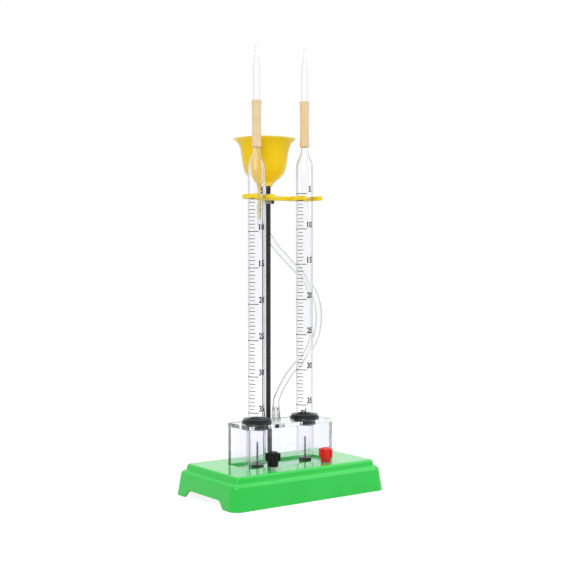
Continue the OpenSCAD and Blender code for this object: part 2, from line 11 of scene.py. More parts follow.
import bmesh
import bpy
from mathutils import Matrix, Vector


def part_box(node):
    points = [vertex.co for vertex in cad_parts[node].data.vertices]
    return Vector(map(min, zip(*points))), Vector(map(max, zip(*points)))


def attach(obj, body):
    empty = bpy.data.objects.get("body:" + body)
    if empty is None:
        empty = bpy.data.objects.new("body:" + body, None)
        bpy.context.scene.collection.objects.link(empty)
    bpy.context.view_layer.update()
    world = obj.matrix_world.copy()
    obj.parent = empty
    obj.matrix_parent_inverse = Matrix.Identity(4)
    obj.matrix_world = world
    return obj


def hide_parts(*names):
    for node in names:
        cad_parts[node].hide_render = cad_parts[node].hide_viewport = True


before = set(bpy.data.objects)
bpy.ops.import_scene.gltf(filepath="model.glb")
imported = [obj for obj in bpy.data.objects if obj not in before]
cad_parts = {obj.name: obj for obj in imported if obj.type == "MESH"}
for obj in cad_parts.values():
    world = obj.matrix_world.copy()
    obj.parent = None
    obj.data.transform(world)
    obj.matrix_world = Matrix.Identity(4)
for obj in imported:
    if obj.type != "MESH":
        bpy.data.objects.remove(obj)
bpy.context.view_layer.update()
mm = 0.001

# %% [markdown]
# ## The camera
# The picture was taken from the front left, hardly above the table, with a long lens, so that the
# tubes stay parallel.

# %% Camera
eye = Vector((-0.51428, -0.72105, 0.18591))
aim = Vector((0.58703, 0.80929, -0.02139))
bpy.ops.object.camera_add(location=eye)
camera = bpy.context.object
camera.rotation_euler = aim.to_track_quat("-Z", "Y").to_euler()
camera.data.sensor_width = 36
camera.data.lens = 67.62
camera.data.clip_start = 0.01
bpy.context.scene.camera = camera
print("camera is", round(eye.length, 3), "m from the object's foot")

# %% [markdown]
# ## Hand tools
# Every piece starts as a primitive and is shaped in edit mode, as by hand. Helpers keep the steps
# short: they pick pieces, faces or edges, extrude, stretch and round what is picked, apply a
# modifier at once, and join or cut one piece with another. They all work in millimetres.

# %% Hand tools
def only(*chosen):
    """Select these objects and nothing else, the first one active."""
    bpy.ops.object.select_all(action="DESELECT")
    for piece in chosen:
        piece.select_set(True)
    bpy.context.view_layer.objects.active = chosen[0]
    return chosen[0]


def edit(piece):
    only(piece)
    bpy.ops.object.mode_set(mode="EDIT")


def done():
    bpy.ops.object.mode_set(mode="OBJECT")


def middle(part):
    """The middle of an edge or face."""
    return sum((point.co for point in part.verts), Vector()) / len(part.verts) / mm


def faces_up(face):
    return face.normal.z > 0.9


def faces_down(face):
    return face.normal.z < -0.9


def climbs(edge, height):
    """True if an edge climbs by more than a height."""
    return abs(edge.verts[0].co.z - edge.verts[1].co.z) > height * mm


def pick(kind, test):
    """In edit mode, select the faces or edges that pass a test, and say how many there are."""
    bpy.ops.mesh.select_mode(type={"edges": "EDGE", "faces": "FACE"}[kind])
    bpy.ops.mesh.select_all(action="DESELECT")
    mesh = bpy.context.edit_object.data
    shape = bmesh.from_edit_mesh(mesh)
    found = [part for part in getattr(shape, kind) if test(part)]
    for part in found:
        part.select_set(True)
    shape.select_flush_mode()
    bmesh.update_edit_mesh(mesh)
    return len(found)


def merge_close(reach=0.002):
    """In edit mode, merge all points that are closer than a reach."""
    bpy.ops.mesh.select_all(action="SELECT")
    bpy.ops.mesh.remove_doubles(threshold=reach * mm)


def extrude(x, y, z):
    """In edit mode, extrude what is picked by this much."""
    bpy.ops.mesh.extrude_region_move(TRANSFORM_OT_translate={"value": (x * mm, y * mm, z * mm)})


def stretch(x, y, middle_y=0):
    """In edit mode, scale what is picked sideways, about the z axis or another upright line."""
    bpy.ops.transform.resize(value=(x, y, 1), center_override=(0, middle_y * mm, 0))


def round_picked(radius, segments):
    """In edit mode, round the picked edges."""
    bpy.ops.mesh.bevel(offset=radius * mm, segments=segments, affect="EDGES")


def finish_with(piece, kind, **settings):
    """Add a modifier with these settings and apply it."""
    only(piece)
    modifier = piece.modifiers.new(kind.title(), kind)
    for name, value in settings.items():
        setattr(modifier, name, value)
    bpy.ops.object.modifier_apply(modifier=modifier.name)
    return piece


def settle(piece):
    """Move a piece's place, turn and scale into its mesh, so that its object sits at the origin."""
    only(piece)
    bpy.ops.object.transform_apply(location=True, rotation=True, scale=True)
    return piece


def place(piece, x, y, z=0.0):
    """Set a piece down at a place."""
    piece.location = (x * mm, y * mm, z * mm)
    return settle(piece)


def block(low, high):
    """A box between two corners, the start of a piece or a cutter."""
    low, high = Vector(low) * mm, Vector(high) * mm
    bpy.ops.mesh.primitive_cube_add(size=1, location=(low + high) / 2, scale=high - low)
    return settle(bpy.context.object)


def post(x, y, foot, top, radius, sides=48):
    """An upright round bar, the start of a piece or a cutter."""
    bpy.ops.mesh.primitive_cylinder_add(vertices=sides, radius=radius * mm, depth=(top - foot) * mm,
                                        location=(x * mm, y * mm, (foot + top) / 2 * mm))
    return settle(bpy.context.object)


def tell(name, piece):
    print(name + ":", len(piece.data.polygons), "faces")


def combine(piece, tool, operation="UNION"):
    """Join a tool to a piece, cut it away or keep what both share, and throw the tool away."""
    finish_with(piece, "BOOLEAN", object=tool, operation=operation, solver="EXACT")
    bpy.data.objects.remove(tool)
    return piece


def cut(piece, tool):
    """Cut a tool's shape out of a piece."""
    return combine(piece, tool, "DIFFERENCE")


def shaded(piece, angle):
    """Shade a piece smooth where it turns by less than an angle."""
    only(piece)
    bpy.ops.object.shade_smooth_by_angle(angle=math.radians(angle))
    return piece


def smooth(piece, angle=35):
    """Shade a piece smooth up to an angle, with large faces kept truly flat."""
    return finish_with(shaded(piece, angle), "WEIGHTED_NORMAL", keep_sharp=True, weight=60)


def weld(piece, reach, tidy=False):
    """Merge points closer than a reach, and with tidy, drop the edges inside flat faces."""
    edit(piece)
    merge_close(reach)
    if tidy:
        bpy.ops.mesh.dissolve_limited(angle_limit=math.radians(1))
    done()
    return piece


def soften(piece, width, angle=35, segments=3):
    """Round the edges that turn by more than an angle, then shade the rest smooth."""
    finish_with(piece, "BEVEL", width=width * mm, segments=segments, limit_method="ANGLE",
                angle_limit=math.radians(angle), miter_outer="MITER_ARC")
    return smooth(piece, max(angle, 50))

# %% [markdown]
# ## Turning round pieces
# Most of the apparatus is round: tubes, grommets, sleeves, washers and the funnel. A turned piece
# starts as a plane that is merged to one point. The point is extruded along the outline, given as
# radius and height, and the outline is spun once round. An outline that starts and ends on the
# axis is a solid body, and one that comes back to its first point is a ring with a bore.

# %% Lathe
def traced(outline, foot=0):
    """A line of edges through (radius, height) pairs, above a foot. It is left in edit mode."""
    bpy.ops.mesh.primitive_plane_add(size=mm)
    piece = bpy.context.object
    edit(piece)
    bpy.ops.mesh.select_mode(type="VERT")
    bpy.ops.mesh.select_all(action="SELECT")
    bpy.ops.mesh.merge(type="CENTER")
    bpy.ops.transform.translate(value=(outline[0][0] * mm, 0, (foot + outline[0][1]) * mm))
    for a, b in zip(outline, outline[1:]):
        extrude(b[0] - a[0], 0, b[1] - a[1])
    merge_close()
    return piece


def turned(outline, x=0, y=0, sides=64, soft=0.0, angle=35):
    """Spin an outline of (radius, height) pairs round an upright axis."""
    piece = traced(outline)
    bpy.ops.mesh.spin(steps=sides, angle=math.tau, center=(0, 0, 0), axis=(0, 0, 1))
    merge_close()
    bpy.ops.mesh.normals_make_consistent(inside=False)
    done()
    place(piece, x, y)
    return soften(piece, soft, angle) if soft else smooth(piece, angle)


def ring(bore, radius, foot, top, x=0, y=0, soft=0.15, sides=48):
    """A turned ring with rounded edges."""
    outline = [(bore, foot), (radius, foot), (radius, top), (bore, top), (bore, foot)]
    return turned(outline, x, y, sides, soft)


def eased(a, b, steps):
    """Points of a soft S from one (radius, height) pair to the next, without the first."""
    return [(b[0] + (a[0] - b[0]) * (1 + math.cos(math.pi * k / steps)) / 2,
             a[1] + (b[1] - a[1]) * k / steps) for k in range(1, steps + 1)]

# %% [markdown]
# ## Places that everything shares
# The tank's middle lies a little in front of the origin, because the funnel overhangs the base at
# the back. What slides has a running gap of 0.06 mm all round, what stands in a hole a fit of 0.05,
# and what only touches is kept a hair apart.

# %% Shared places
def middle_of(node, axis):
    """The middle of a CAD node along x (0) or y (1)."""
    low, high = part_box(node)
    return (low[axis] + high[axis]) / 2 / mm


mid_y = middle_of("tank_box", 1)
tube_x = middle_of("right_gas_tube", 0)
rod_y = middle_of("stand_rod", 1)
post_x = middle_of("red_cap_washer", 0)
post_y = middle_of("red_cap_washer", 1)
funnel_y = rod_y + 5.2
spout_y = funnel_y + 5
nipple_y = mid_y + 7
tube_r, rod_r, stud_r, shank_r = 7, 2, 2, 1.5
run_gap, fit, hair = 0.06, 0.05, 0.02
made = {}
print("tubes at x =", round(tube_x, 2), "rod at y =", round(rod_y, 2))

# %% [markdown]
# ## The hose
# Clear vinyl tubing of 5.5 mm leaves the funnel's spout, bows behind the right tube and comes
# down on a nipple of the tank's lid. The picture shows it from end to end, so its length is known.
# A Bezier curve with automatic handles runs smoothly through the route's points, each point has
# its own radius where the tube is stretched over the spout and the nipple, and Solidify gives the
# skin its wall inwards, so that light passes through a real bore.

# %% Hose
route = [(0, 28, 220), (2, 28, 216.5), (5.5, 28, 213), (9, 28, 208.5), (11.5, 27.5, 204.5), (15, 27, 200),
         (20.5, 26, 194.5), (27, 25, 188), (34, 24, 181.5), (41, 23, 174.5), (47, 22, 167), (51.5, 21, 159),
         (54, 20.5, 150), (54.5, 20, 141), (53, 19.5, 131.5), (49.5, 19, 122.5), (43.5, 18.5, 114.5),
         (35.5, 18, 107), (27, 17, 100), (20, 15.5, 94.5), (14, 13.5, 89), (8.5, 11.5, 83.5),
         (4, 9.5, 78.5), (1, 8, 74)]
path = ([(0, spout_y, z) for z in (236, 230, 224)] + [(x, y + mid_y, z) for x, y, z in route]
        + [(0, nipple_y, z) for z in (70.75, 66.75, 63.75, 59.5)])
hose_r, hose_wall = 2.75, 0.75
radii = [3.6, 3.5, 3.12] + [hose_r] * (len(route) + 1) + [3.42, 3.55, 3.6]


def tube_along(path, radii, handles, steps, roundness, caps):
    """A round tube along a path, with its own radius at each point."""
    bpy.ops.curve.primitive_bezier_curve_add()
    tube = only(bpy.context.object)
    line = tube.data.splines[0]
    line.bezier_points.add(len(path) - 2)
    for knot, spot, radius in zip(line.bezier_points, path, radii):
        knot.co = Vector(spot) * mm
        knot.radius = radius
        knot.handle_left_type = knot.handle_right_type = handles
    line.resolution_u = steps
    tube.data.bevel_depth = mm
    tube.data.bevel_resolution = roundness
    tube.data.use_fill_caps = caps
    bpy.ops.object.convert(target="MESH")
    return tube


hose = tube_along(path, radii, "AUTO", 5, 6, False)
made["hose"] = shaded(finish_with(hose, "SOLIDIFY", thickness=hose_wall * mm, offset=-1), 40)
path = [tuple(v * mm for v in spot) for spot in path]

# %% [markdown]
# ## The base
# One green injection moulding in two tiers. A box gets round corners with an edge bevel, its top
# is drawn in so that the walls lean as a mould needs, an inset and an extrusion make the plateau,
# and bisecting the top marks out the pocket for the tank, which is pushed down. The tier's wide
# shoulder is rounded first, then the foot is opened and Solidify makes the real 2 mm wall. The
# sharper edges wait until the wall is there, because their inside would fold over.

# %% Base shell
base_l, base_w, base_wall = 150, 90, 2
plateau_l, plateau_w = 137.2, 77.2
tier_z, plateau_z = 20, 25
pocket_x, pocket_y = 41.8, 15.6


def lean_in(length, width, back):
    """Draw the picked ring of this length and width in by a distance on each side."""
    stretch((length - 2 * back) / length, (width - 2 * back) / width, mid_y)


def on_plateau(face):
    return faces_up(face) and middle(face).z > plateau_z - 0.1


base = block((-base_l / 2, mid_y - base_w / 2, 0), (base_l / 2, mid_y + base_w / 2, tier_z))
edit(base)
pick("edges", lambda e: climbs(e, 10))
round_picked(8, 10)
pick("faces", faces_up)
lean_in(base_l, base_w, 2.53)
bpy.ops.mesh.inset(thickness=3.88 * mm)
extrude(0, 0, plateau_z - tier_z)
lean_in(plateau_l, plateau_w, 0.8)
for x, y in ((-pocket_x, 0), (pocket_x, 0), (0, mid_y - pocket_y), (0, mid_y + pocket_y)):
    pick("faces", on_plateau)
    bpy.ops.mesh.bisect(plane_co=(x * mm, y * mm, 0), plane_no=(1, 0, 0) if x else (0, 1, 0))
pick("faces", lambda f: on_plateau(f) and abs(middle(f).x) < pocket_x
     and abs(middle(f).y - mid_y) < pocket_y)
extrude(0, 0, -4)
done()
tell("base before its edges are rounded", base)

# %% Round the base's edges
def between(edge, flat, wall):
    """True if an edge lies between a level face and a wall that pass these tests."""
    return (any(faces_up(f) and flat(middle(f)) for f in edge.link_faces)
            and any(abs(f.normal.z) < 0.5 and wall(middle(f)) for f in edge.link_faces))


def far_out(place):
    return abs(place.x) > 50 or abs(place.y - mid_y) > 25


def round_edges(name, flat, wall, width, segments):
    edit(base)
    print(name, pick("edges", lambda e: between(e, flat, wall)), "edges")
    round_picked(width, segments)
    done()


round_edges("tier shoulder", lambda p: 19 < p.z < 21, lambda p: p.z < 19, 3.2, 8)
edit(base)
pick("faces", faces_down)
bpy.ops.mesh.delete(type="FACE")
done()
finish_with(base, "SOLIDIFY", thickness=base_wall * mm, offset=-1, use_even_offset=True)
edit(base)
pick("faces", lambda f: all(point.co.z < 0.3 * mm for point in f.verts))
bpy.ops.transform.resize(value=(1, 1, 0), center_override=(0, 0, 0))
done()
round_edges("plateau edge", lambda p: p.z > 24, lambda p: p.z > 20 and far_out(p), 1.9, 6)
round_edges("plateau foot", lambda p: 19 < p.z < 20.5, lambda p: p.z > 20 and far_out(p), 0.4, 3)
round_edges("pocket edge", lambda p: p.z > 24, lambda p: p.z > 20 and not far_out(p), 0.3, 2)
tell("base with its wall", base)

# %% [markdown]
# Below the shell, bosses carry the terminals' studs and the rod, and both short sides are arched
# at the foot, so that leads can pass under. The cutters are bars and a prism whose long edges are
# rounded, because the real arch has soft corners.

# %% Bosses, holes and arches
studs = [(-post_x, post_y), (post_x, post_y)]
shanks = [(-tube_x, mid_y), (tube_x, mid_y)]
under_z = 19
for x, y in studs:
    combine(base, post(x, y, under_z, 24, 5.5))
combine(base, post(0, rod_y, under_z + hair, 24, 4.5))
for spots, hole_r in ((studs, stud_r + fit), ([(0, rod_y)], rod_r + fit), (shanks, shank_r + fit)):
    for x, y in spots:
        cut(base, post(x, y, 15, 27, hole_r))
arch_y, arch_top_y = 29.45, 22.8
arch = block((-77, mid_y - arch_y, -1), (77, mid_y + arch_y, 6))
edit(arch)
pick("faces", faces_up)
stretch(1, arch_top_y / arch_y, mid_y)
pick("edges", lambda e: all(p.co.z > 5 * mm for p in e.verts) and abs(middle(e).x) < 1)
round_picked(1.6, 5)
done()
cut(base, arch)
made["base_shell"] = smooth(base, 40)
tell("base shell", base)

# %% [markdown]
# ## The water tank
# The tank is glued from clear acrylic sheet of 2.3 mm, and so is its lid. A real wall matters: the
# two surfaces of a sheet bend light differently, and its edges catch the light as fine lines. Both
# pieces stand a hair off what carries them, because two glassy faces in one place would flicker.

# %% Tank and lid
tank_x, tank_y, sheet = 41.5, 15.3, 2.3
tank_z, lid_z, lid_top = 21, 55.5, 58.5
floor_z = tank_z + sheet
waist_r, bore_r = 9.06, tube_r + run_gap
tank = block((-tank_x, mid_y - tank_y, tank_z + hair), (tank_x, mid_y + tank_y, lid_z))
edit(tank)
pick("faces", faces_up)
bpy.ops.mesh.inset(thickness=sheet * mm)
extrude(0, 0, floor_z - hair - lid_z)
done()
for x, y in shanks:
    cut(tank, post(x, y, 20, 25, shank_r + fit))
made["tank_box"] = soften(tank, 0.22)

lid = block((-tank_x, mid_y - tank_y, lid_z + hair), (tank_x, mid_y + tank_y, lid_top))
for x, y in shanks:
    cut(lid, post(x, y, 54, 60, waist_r + fit, 72))
cut(lid, post(0, nipple_y, 54, 60, 2.25))
made["tank_lid"] = soften(lid, 0.22)
made["hose_nipple"] = turned(
    [(1.3, 54.5), (2.2, 54.5), (2.2, lid_top + hair), (4, lid_top + hair), (4, 59.5), (2.2, 59.5),
     (2.2, 66.1), (2.6, 66.1), (1.75, 68.5), (1.3, 68.5), (1.3, 54.5)], 0, nipple_y, 48, 0.12)
tell("tank", tank)
tell("lid", lid)

# %% [markdown]
# ## Grommets and electrode seals
# Each glass tube passes the lid in a black rubber grommet: a plug below, a waist in the lid's hole,
# a flange on top and a raised ridge with a thin lip round the glass. One outline, turned once,
# shows all of it. The electrodes stand in plain rubber seals on the tank's floor.

# %% Grommets and seals
def pair(name, piece, rise=0.0):
    """Keep a left piece, and a copy with its own mesh, higher by a rise, as the right one."""
    made["left_" + name] = only(piece)
    bpy.ops.object.duplicate()
    made["right_" + name] = place(bpy.context.object, 2 * tube_x, 0, rise)


grommet = turned(
    [(bore_r, 53.3), (8.36, 53.3), (10.06, lid_z), (waist_r, lid_z), (waist_r, lid_top),
     (12.2, lid_top + hair), (12.2, 60.3), (11.55, 60.3), (11.55, 59.95), (11.15, 59.95),
     (11.15, 60.3), (10.3, 60.3), (10.3, 60.7), (11, 60.7), (11, 62.1), (9.6, 62.1), (9.6, 61.75),
     (9.2, 61.75), (9.2, 62.1), (7.86, 62.1), (7.86, 62.7), (bore_r, 62.7), (bore_r, 53.3)],
    -tube_x, mid_y, 72, 0.16)
seal_r = shank_r + fit
seal = turned(
    [(seal_r, floor_z), (5.1, floor_z), (5.25, 23.5), (5.25, 25.95), (5, 26.3), (2, 26.3), (1.6, 26.1),
     (0.8, 26.1), (0.8, 24.82), (seal_r, 24.82), (seal_r, floor_z)], -tube_x, mid_y, 48, 0.12)
pair("grommet", grommet)
pair("electrode_seal", seal)
tell("grommet", grommet)

# %% [markdown]
# ## Glass tubes and jets
# A gas tube is 14 mm glass with a wall of 0.9 mm, open at its foot and drawn in to a 6 mm neck. The
# cut ends are fire polished, which rounds them. The jets are thinner tubes drawn out to a point.
# The right tube stands 3 mm higher than the left, as in the picture.

# %% Gas tubes and jets
def necked(wide, narrow, heights, steps):
    """One side of a glass wall that stands straight and then eases in to a smaller radius."""
    return [(wide, h) for h in heights[:-1]] + eased((wide, heights[-2]), (narrow, heights[-1]), steps)


neck_r, glass_wall = 3, 0.9
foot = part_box("left_gas_tube")[0].z / mm
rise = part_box("right_gas_tube")[0].z / mm - foot
heights = [foot, foot + 120, foot + 238, foot + 252.3]
neck_top = foot + 267.3
wall = (necked(tube_r, neck_r, heights, 16) + [(neck_r, neck_top), (neck_r - glass_wall, neck_top)]
        + necked(tube_r - glass_wall, neck_r - glass_wall, heights, 16)[::-1])
gas_tube = turned(wall + wall[:1], -tube_x, mid_y, 96, 0.34, angle=50)


def jet(x, seat, tip, bore):
    """A glass tube drawn out to a jet of this tip and bore radius, standing in its sleeve."""
    top = seat + 63
    heights = [seat, seat + 43.6, seat + 56]
    wall = (necked(2.8, tip, heights, 12) + [(tip, top - 0.3), (tip - 0.3, top), (bore, top)]
            + necked(1.9, bore, heights, 12)[::-1])
    return turned(wall + wall[:1], x, mid_y, 64, 0.12, angle=50)


seat = foot + 273.3
pair("gas_tube", gas_tube, rise)
made["left_nozzle"] = jet(-tube_x, seat, 1.6, 0.72)
made["right_nozzle"] = jet(tube_x, seat + rise, 1.0, 0.45)
print("left tube stands at", round(foot, 1), "mm and the right one", round(rise, 1), "mm higher")

# %% [markdown]
# ## The printed scale
# The tubes are marked from 5 to 35 ml, read from the top down, with a long line every 5 ml, a
# middle line every 1 ml and a short one every 0.5 ml. It is drawn flat first, as a printer would,
# with arrays of thin strips and text that is turned to a mesh. Bisecting the digits gives them
# enough points to bend, and one loop then wraps the flat sheet round the glass. Solidify makes
# the ink a closed skin of 0.03 mm.

# %% Flat marks
ink_r, ink_wall = 7.005, 0.03
five_ml = 29.07
top_mark = 215.77


def strip(low, high, height, line):
    """A flat line between two angles round the tube, in degrees from its front."""
    left, right = math.radians(low) * ink_r, math.radians(high) * ink_r
    bpy.ops.mesh.primitive_grid_add(x_subdivisions=max(8, int((right - left) / 0.5)), y_subdivisions=1,
                                    size=mm, location=((left + right) / 2 * mm, height * mm, 0))
    bpy.context.object.scale = (right - left, line, 1)
    return settle(bpy.context.object)


def repeated(piece, count, drop):
    return finish_with(piece, "ARRAY", count=count, use_relative_offset=False, use_constant_offset=True,
                       constant_offset_displace=(0, -drop * mm, 0))


def joined(*chosen):
    only(*chosen)
    bpy.ops.object.join()
    return bpy.context.object


five = repeated(strip(-116, -21, top_mark, 0.62), 7, five_ml)
one = repeated(strip(-93, -43, top_mark - five_ml / 5, 0.56), 4, five_ml / 5)
half = repeated(strip(-82, -49, top_mark - five_ml / 10, 0.5), 5, five_ml / 5)
marks = joined(five, repeated(joined(one, half), 6, five_ml))
tell("marks", marks)

# %% Flat digits
def word(text, angle, bottom, height, width):
    """Generic bold lettering, fitted to a width and height and laid flat on the scale."""
    bpy.ops.object.text_add()
    letters = only(bpy.context.object)
    letters.data.body = text
    letters.data.offset = 0.035
    letters.data.resolution_u = 4
    bpy.ops.object.convert(target="MESH")
    xs = [p.co.x for p in letters.data.vertices]
    ys = [p.co.y for p in letters.data.vertices]
    sx, sy = width / (max(xs) - min(xs)), height / (max(ys) - min(ys))
    letters.scale = (sx * mm, sy * mm, 1)
    return place(letters, math.radians(angle) * ink_r - sx * (max(xs) + min(xs)) / 2, bottom - sy * min(ys))


digit_turn, digit_h, slice_w = 2.5, 5.1, 0.6
digits = [word(str(5 * k + 5), digit_turn, top_mark - k * five_ml + 1.1, digit_h, digit_h if k else 2.4)
          for k in range(7)]
digits = joined(*digits, word("ml", -43, top_mark - 6 * five_ml - 7.5, 5, 4.2))
edit(digits)
for k in range(-14, 9):
    bpy.ops.mesh.select_all(action="SELECT")
    bpy.ops.mesh.bisect(plane_co=(k * slice_w * mm, 0, 0), plane_no=(1, 0, 0))
done()
tell("digits", digits)

# %% Wrap the scale round the glass
scale = joined(marks, digits)
for point in scale.data.vertices:
    turn = point.co.x / (ink_r * mm)
    point.co = (-tube_x * mm + ink_r * mm * math.sin(turn), mid_y * mm - ink_r * mm * math.cos(turn),
                foot * mm + point.co.y)
finish_with(scale, "SOLIDIFY", thickness=ink_wall * mm, offset=1)
pair("scale", scale, rise)
tell("scale", scale)

# %% [markdown]
# ## Latex sleeves
# Soft tan tubing grips the glass neck below and the jet above. It is a turned ring whose outline
# swells where the glass stretches it, and narrows between.

# %% Sleeves
low, sleeve_h = foot + 254.3, 38
swelling = [(3.03, 0), (3.7, 0), (4.05, 0.9), (4.05, 2.4), (3.86, 4.2), (3.76, 8), (3.72, 12), (3.64, 14.5),
            (3.62, 17), (3.7, 20), (3.72, 28), (3.82, 32), (4.02, 35), (4.08, 36.8), (3.9, 37.9),
            (2.85, sleeve_h), (2.85, 18.9), (3.03, 13.2), (3.03, 0)]
sleeve = turned([(r, low + h) for r, h in swelling], -tube_x, mid_y, 56, 0.25, angle=60)
pair("sleeve", sleeve, rise)
tell("sleeve", sleeve)

# %% [markdown]
# ## Screw threads
# A thread is one small outline dragged along a helix. The Screw modifier does that: the outline
# climbs one pitch with each turn, and the open ends are filled, so that the ridge is a closed
# solid. The core below it is a turned bar with chamfered ends.

# %% Threaded bars
def ridge(foot, turns, radius, pitch):
    """A helical ridge of this outer radius and pitch."""
    root = radius - 0.55 * pitch
    corners = [(root, 0.02 * pitch), (radius, 0.4 * pitch), (radius, 0.56 * pitch), (root, 0.94 * pitch)]
    piece = traced(corners + corners[:1], foot)
    done()
    finish_with(piece, "SCREW", angle=math.tau, screw_offset=pitch * mm, iterations=turns, steps=20,
                render_steps=20, use_smooth_shade=False)
    edit(piece)
    pick("edges", lambda e: len(e.link_faces) == 1)
    bpy.ops.mesh.fill_holes(sides=6)
    bpy.ops.mesh.select_all(action="SELECT")
    bpy.ops.mesh.normals_make_consistent(inside=False)
    done()
    return shaded(piece, 30)


def threaded(x, y, top, radius, pitch, plain_top=None, pin=None):
    """A bar with a thread from its foot to a top, then a smooth shaft, or a pin of (radius, top)."""
    core, chamfer, foot = radius - 0.5 * pitch, 0.3, 12
    outline = [(0, foot), (core - chamfer, foot), (core, foot + chamfer), (core, top)]
    if plain_top:
        outline += [(radius, top + 0.2), (radius, plain_top)]
    if pin:
        outline += [(pin[0], outline[-1][1]), (pin[0], pin[1] - 0.25), (pin[0] - 0.25, pin[1]), (0, pin[1])]
    else:
        wide, end = outline[-1]
        outline[-1:] = [(wide, end - chamfer), (wide - chamfer, end), (0, end)]
    bar = turned(outline, sides=40)
    screw = ridge(foot + 0.1, int((top - foot - 0.2) / pitch) - 1, radius, pitch)
    return place(joined(bar, screw), x, y)


made["stand_rod"] = threaded(0, rod_y, 18.8, rod_r, 0.7, plain_top=256)
for name, (x, y) in zip(("black_terminal_stud", "red_terminal_stud"), studs):
    made[name] = threaded(x, y, 34.4, stud_r, 0.7)
for name, (x, y) in zip(("left_electrode", "right_electrode"), shanks):
    made[name] = threaded(x, y, 18.8, shank_r, 0.5, plain_top=24.8, pin=(0.75, 43.3))
tell("rod with its thread", made["stand_rod"])

# %% [markdown]
# ## Nuts, washers and leads below the base
# Seen from below, washers and nuts hold the rod, the studs and the electrodes, and two leads join
# each terminal to its electrode. A nut is what a turned blank with chamfered rims and a hexagonal
# bar have in common.

# %% Nuts and washers
def nut(x, y, foot, bore, across):
    corner, flat = across / 2 / math.cos(math.pi / 6), across / 2 * 0.97
    top, rim = foot + 2.4, corner + 0.05
    blank = turned([(bore, foot), (flat, foot), (rim, foot + 0.4), (rim, top - 0.4), (flat, top),
                    (bore, top), (bore, foot)], sides=48)
    combine(blank, post(0, 0, foot - 1, top + 1, corner, 6), "INTERSECT")
    return place(soften(blank, 0.06, segments=2), x, y)


def washer(x, y, bore, radius, top=19, thick=0.58, soft=0.1):
    return ring(bore, radius, top - thick, top, x, y, soft)


nut_feet = (16, 13)
made["rod_washer"] = washer(0, rod_y, rod_r + fit, 4.5)
made["rod_nut"] = nut(0, rod_y, nut_feet[0], rod_r + hair, 7)
made["electrode_washers"] = joined(*[washer(x, y, shank_r + fit, 3.5) for x, y in shanks])
made["terminal_washers"] = joined(*[washer(x, y, stud_r + fit, 4.5, soft=0.15) for x, y in studs])
made["electrode_nuts"] = joined(*[nut(x, y, z, shank_r + hair, 5.5) for x, y in shanks for z in nut_feet])
made["terminal_nuts"] = joined(*[nut(x, y, z, stud_r + hair, 7) for x, y in studs for z in nut_feet])
black_z, red_z = 27.6, 25.6
made["black_cap_washer"] = washer(-post_x, post_y, stud_r + run_gap, 4.2, black_z)
made["red_cap_washer"] = washer(post_x, post_y, stud_r + run_gap, 4.2, red_z)
tell("electrode nuts", made["electrode_nuts"])

# %% Leads
def lead(side):
    """An insulated wire and, as a second piece, its two crimped ring lugs."""
    start, end = Vector((side * tube_x, mid_y, 15.7)), Vector((side * post_x, post_y, 15.7))
    along = (end - start).normalized()
    near, far = start + along * 3.375, end - along * 4.241
    turn = math.atan2(along.y, along.x)
    lugs = [ring(bore, reach, 15.42, 15.98, centre.x, centre.y, 0.08)
            for centre, bore, reach in ((start, shank_r + fit, 3.775), (end, stud_r + fit, 4.641))]
    for centre in (near + along * 2.4, far - along * 2.4):
        bpy.ops.mesh.primitive_cylinder_add(vertices=32, radius=1.4 * mm, depth=4.8 * mm,
                                            location=centre * mm, rotation=(0, math.pi / 2, turn))
        lugs.append(soften(settle(bpy.context.object), 0.3))
    wire = tube_along([near + along * 1.5, far - along * 1.5], [1, 1], "VECTOR", 12, 5, True)
    return shaded(weld(wire, 0.001), 40), joined(*lugs)


made["black_lead"], made["black_lead_lugs"] = lead(-1)
made["red_lead"], made["red_lead_lugs"] = lead(1)
tell("lead", made["red_lead"])

# %% [markdown]
# ## The terminal caps
# Each cap is a small plastic knob: a narrow neck that widens upwards, six round finger ribs and a
# shallow crown. The ribs are groups of side faces of a cylinder, extruded outwards together and
# rounded by a bevel along their upright edges.

# %% Caps
cap_r, rib_r, cap_neck_r, crown_r = 4.5, 6, 4, 3.5
neck_h, ribs_top, bore_h = 4.2, 10.4, 9.8


def on_rib(face):
    """True for the side faces of the knob that grow into its six ribs."""
    spot = middle(face)
    if not 4.3 < spot.z < 10.3 or spot.xy.length < 4.3 or abs(face.normal.z) > 0.1:
        return False
    off = (math.degrees(math.atan2(spot.y, spot.x)) + 30) % 60 - 30
    return abs(off) < 14


def cap(x, foot, turn):
    knob = post(0, 0, neck_h, ribs_top, cap_r, 60)
    edit(knob)
    pick("faces", faces_down)
    extrude(0, 0, -neck_h)
    stretch(cap_neck_r / cap_r, cap_neck_r / cap_r)
    bpy.ops.mesh.inset(thickness=1.94 * mm)
    extrude(0, 0, bore_h)
    pick("faces", lambda f: faces_up(f) and middle(f).z > 10.3)
    extrude(0, 0, 1)
    stretch(crown_r / cap_r, crown_r / cap_r)
    bpy.ops.mesh.inset(thickness=0.6 * mm)
    bpy.ops.mesh.inset(thickness=0.4 * mm, depth=-0.25 * mm)
    pick("faces", on_rib)
    extrude(0, 0, 0)
    stretch(rib_r / cap_r, rib_r / cap_r)
    pick("edges", lambda e: middle(e).xy.length > 5.8 and climbs(e, 5) and e.calc_face_angle(0) > 0.8)
    round_picked(1.1, 6)
    done()
    knob.rotation_euler = (0, 0, math.radians(turn))
    return soften(place(knob, x, post_y, foot), 0.35, angle=40, segments=4)


made["black_cap"] = cap(-post_x, black_z + hair, -36)
made["red_cap"] = cap(post_x, red_z + hair, -6)
tell("cap", made["red_cap"])

# %% [markdown]
# ## Collar and tube holder
# A small metal collar with a slotted clamp screw is the stop on the rod. The yellow holder lies on
# it: a moulded plate with two open clips for the tubes. It is put together from bars and posts.
# Welding drops the slivers where these cross, and its edges get the small radius of a moulding.

